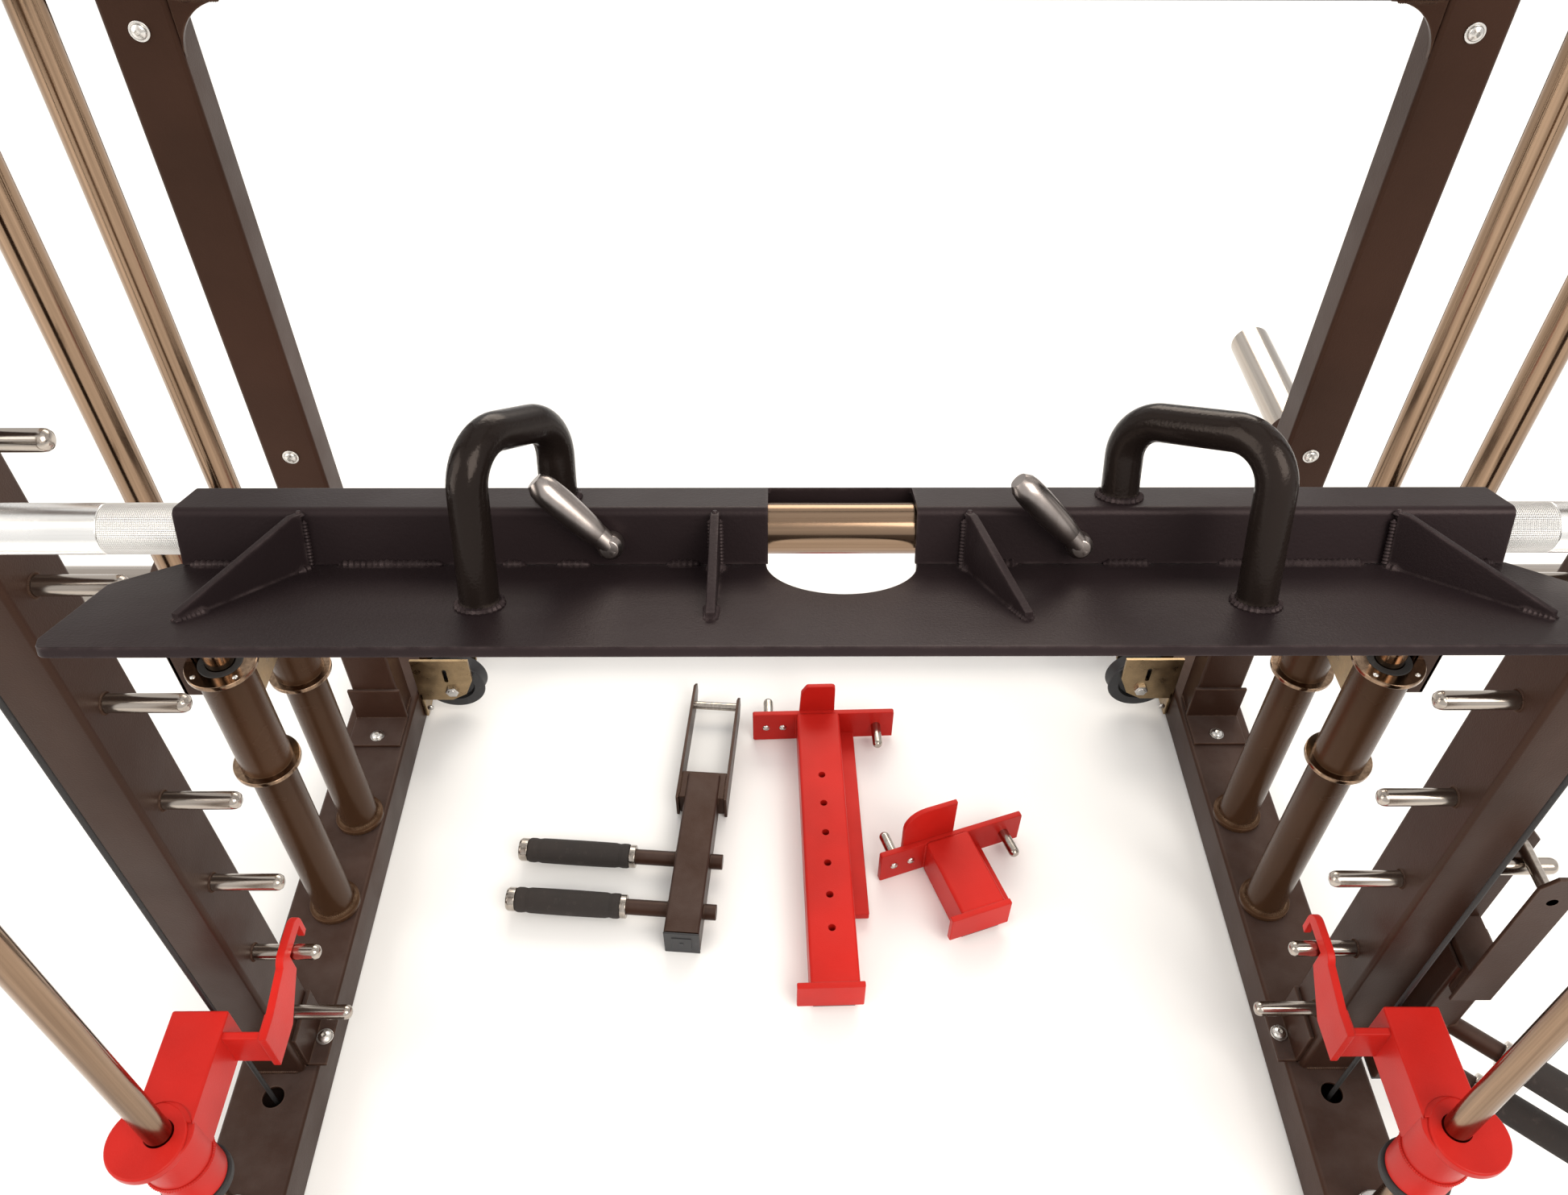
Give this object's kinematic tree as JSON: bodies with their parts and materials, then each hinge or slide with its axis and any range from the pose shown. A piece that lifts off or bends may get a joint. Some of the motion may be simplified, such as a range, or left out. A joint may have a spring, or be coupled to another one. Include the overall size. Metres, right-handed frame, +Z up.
{
  "type": "smith machine",
  "caption": "Free-standing smith machine with a guided bar and hook pegs, a clamp-on foot plate, safety stops, plate-loaded side carriages, cable pulleys and loose rack attachments.",
  "frame": {"origin": "on the floor, under the middle of the machine's box", "axes": "+X to the user's right when they face the machine, -Y towards the user, +Z up"},
  "size_m": [2, 1.04, 2.186],
  "materials": {
    "frame_black": "satin powder coat",
    "foot_black": "satin powder coat",
    "stop_tube": "glossy powder coat",
    "safety_red": "satin powder coat",
    "chrome": "polished",
    "zinc": "zinc plated",
    "yellow_zinc": "yellow zinc plated",
    "brushed_steel": "bright, knurled",
    "rubber": "matt",
    "plastic": "moulded",
    "cable": "plastic-coated wire rope"
  },
  "bodies": {
    "root": {"base_rail_left": "frame_black", "front_post_left": "frame_black", "rear_post_left": "frame_black", "top_beam_left": "frame_black", "low_pulley_bracket_left": "yellow_zinc", "smith_guide_rod_left": "chrome", "weight_guide_rod_front_left": "chrome", "weight_guide_rod_rear_left": "chrome", "weight_stop_tube_front_left": "stop_tube", "weight_stop_tube_rear_left": "stop_tube", "carriage_cable_left": "cable", "base_rail_right": "frame_black", "front_post_right": "frame_black", "rear_post_right": "frame_black", "top_beam_right": "frame_black", "low_pulley_bracket_right": "yellow_zinc", "smith_guide_rod_right": "chrome", "weight_guide_rod_front_right": "chrome", "weight_guide_rod_rear_right": "chrome", "weight_stop_tube_front_right": "stop_tube", "weight_stop_tube_rear_right": "stop_tube", "carriage_cable_right": "cable", "rear_base_crossbar": "frame_black", "rear_mid_crossbar": "frame_black", "rear_top_crossbar": "frame_black", "pull_up_bar": "chrome", "plate_storage_horn": "chrome"},
    "bar_carriage": {"bar_carriage_left": "frame_black", "bar_carriage_right": "frame_black"},
    "smith_bar": {"smith_bar": "brushed_steel", "weight_sleeve_left": "chrome", "weight_sleeve_right": "chrome", "bar_hook_left": "zinc", "bar_hook_right": "zinc"},
    "foot_plate": {"foot_channel": "foot_black", "foot_deck": "foot_black", "foot_handle_left": "foot_black", "foot_handle_right": "foot_black"},
    "clamp_lever_left": {"clamp_lever_left": "chrome"},
    "clamp_lever_right": {"clamp_lever_right": "chrome"},
    "safety_ring_left": {"safety_ring_left": "rubber"},
    "safety_stop_left": {"safety_stop_left": "safety_red"},
    "weight_carriage_left": {"weight_carriage_left": "frame_black", "loading_horn_left": "chrome"},
    "front_top_pulley_left": {"front_top_pulley_left": "plastic"},
    "rear_top_pulley_left": {"rear_top_pulley_left": "plastic"},
    "low_pulley_left": {"low_pulley_left": "plastic"},
    "safety_ring_right": {"safety_ring_right": "rubber"},
    "safety_stop_right": {"safety_stop_right": "safety_red"},
    "weight_carriage_right": {"weight_carriage_right": "frame_black", "loading_horn_right": "chrome"},
    "front_top_pulley_right": {"front_top_pulley_right": "plastic"},
    "rear_top_pulley_right": {"rear_top_pulley_right": "plastic"},
    "low_pulley_right": {"low_pulley_right": "plastic"},
    "spotter_arm": {"spotter_arm": "safety_red"},
    "j_cup": {"j_cup": "safety_red"},
    "dip_handle_floor": {"dip_handle_floor": "frame_black", "dip_grip_1": "rubber", "dip_grip_2": "rubber"},
    "dip_handle_post": {"dip_handle_post": "frame_black"}
  },
  "joints": [
    {"name": "bar_carriage_slide", "type": "slide", "parent": "root", "child": "bar_carriage", "axis": [0, 0, 1], "range_m": [-0.5244, 0.7866]},
    {"name": "bar_turn", "type": "hinge", "parent": "bar_carriage", "child": "smith_bar", "pos_m": [0, -0.335, 0.9617], "axis": [-1, 0, 0], "range_deg": [0, 70]},
    {"name": "foot_plate_lift", "type": "slide", "parent": "smith_bar", "child": "foot_plate", "axis": [0, 0.342, 0.9397], "range_m": [0, 0.1]},
    {"name": "clamp_lever_left_turn", "type": "hinge", "parent": "foot_plate", "child": "clamp_lever_left", "pos_m": [-0.1195, -0.335, 0.9617], "axis": [0, -0.9397, 0.342], "range_deg": [-95, 0]},
    {"name": "clamp_lever_right_turn", "type": "hinge", "parent": "foot_plate", "child": "clamp_lever_right", "pos_m": [0.134, -0.335, 0.9617], "axis": [0, -0.9397, 0.342], "range_deg": [-95, 0]},
    {"name": "safety_left_lift", "type": "slide", "parent": "root", "child": "safety_ring_left", "axis": [0, 0, 1], "range_m": [0, 0.05]},
    {"name": "safety_left_swing", "type": "hinge", "parent": "safety_ring_left", "child": "safety_stop_left", "pos_m": [-0.5925, -0.4, 0.182], "axis": [0, 0, -1], "range_deg": [0, 70]},
    {"name": "weight_carriage_left_slide", "type": "slide", "parent": "root", "child": "weight_carriage_left", "axis": [0, 0, 1], "range_m": [0, 1.35]},
    {"name": "front_top_pulley_left_spin", "type": "hinge", "parent": "root", "child": "front_top_pulley_left", "pos_m": [-0.589, -0.228, 2.136], "axis": [1, 0, 0], "continuous": true},
    {"name": "rear_top_pulley_left_spin", "type": "hinge", "parent": "root", "child": "rear_top_pulley_left", "pos_m": [-0.619, -0.01, 2.136], "axis": [1, 0, 0], "continuous": true},
    {"name": "low_pulley_left_spin", "type": "hinge", "parent": "root", "child": "low_pulley_left", "pos_m": [-0.497, 0.335, 0.066], "axis": [0, 1, 0], "continuous": true},
    {"name": "safety_right_lift", "type": "slide", "parent": "root", "child": "safety_ring_right", "axis": [0, 0, 1], "range_m": [0, 0.05]},
    {"name": "safety_right_swing", "type": "hinge", "parent": "safety_ring_right", "child": "safety_stop_right", "pos_m": [0.5925, -0.4, 0.182], "axis": [0, 0, 1], "range_deg": [0, 70]},
    {"name": "weight_carriage_right_slide", "type": "slide", "parent": "root", "child": "weight_carriage_right", "axis": [0, 0, 1], "range_m": [0, 1.35]},
    {"name": "front_top_pulley_right_spin", "type": "hinge", "parent": "root", "child": "front_top_pulley_right", "pos_m": [0.589, -0.228, 2.136], "axis": [1, 0, 0], "continuous": true},
    {"name": "rear_top_pulley_right_spin", "type": "hinge", "parent": "root", "child": "rear_top_pulley_right", "pos_m": [0.619, -0.01, 2.136], "axis": [1, 0, 0], "continuous": true},
    {"name": "low_pulley_right_spin", "type": "hinge", "parent": "root", "child": "low_pulley_right", "pos_m": [0.497, 0.335, 0.066], "axis": [0, 1, 0], "continuous": true},
    {"name": "spotter_arm_lift", "type": "slide", "parent": "root", "child": "spotter_arm", "axis": [0, 0, 1], "range_m": [0, 0.3]},
    {"name": "j_cup_lift", "type": "slide", "parent": "root", "child": "j_cup", "axis": [0, 0, 1], "range_m": [0, 0.3]},
    {"name": "dip_handle_floor_lift", "type": "slide", "parent": "root", "child": "dip_handle_floor", "axis": [0, 0, 1], "range_m": [0, 0.3]},
    {"name": "dip_handle_post_lift", "type": "slide", "parent": "root", "child": "dip_handle_post", "axis": [0, 0, 1], "range_m": [0, 0.1]}
  ]
}
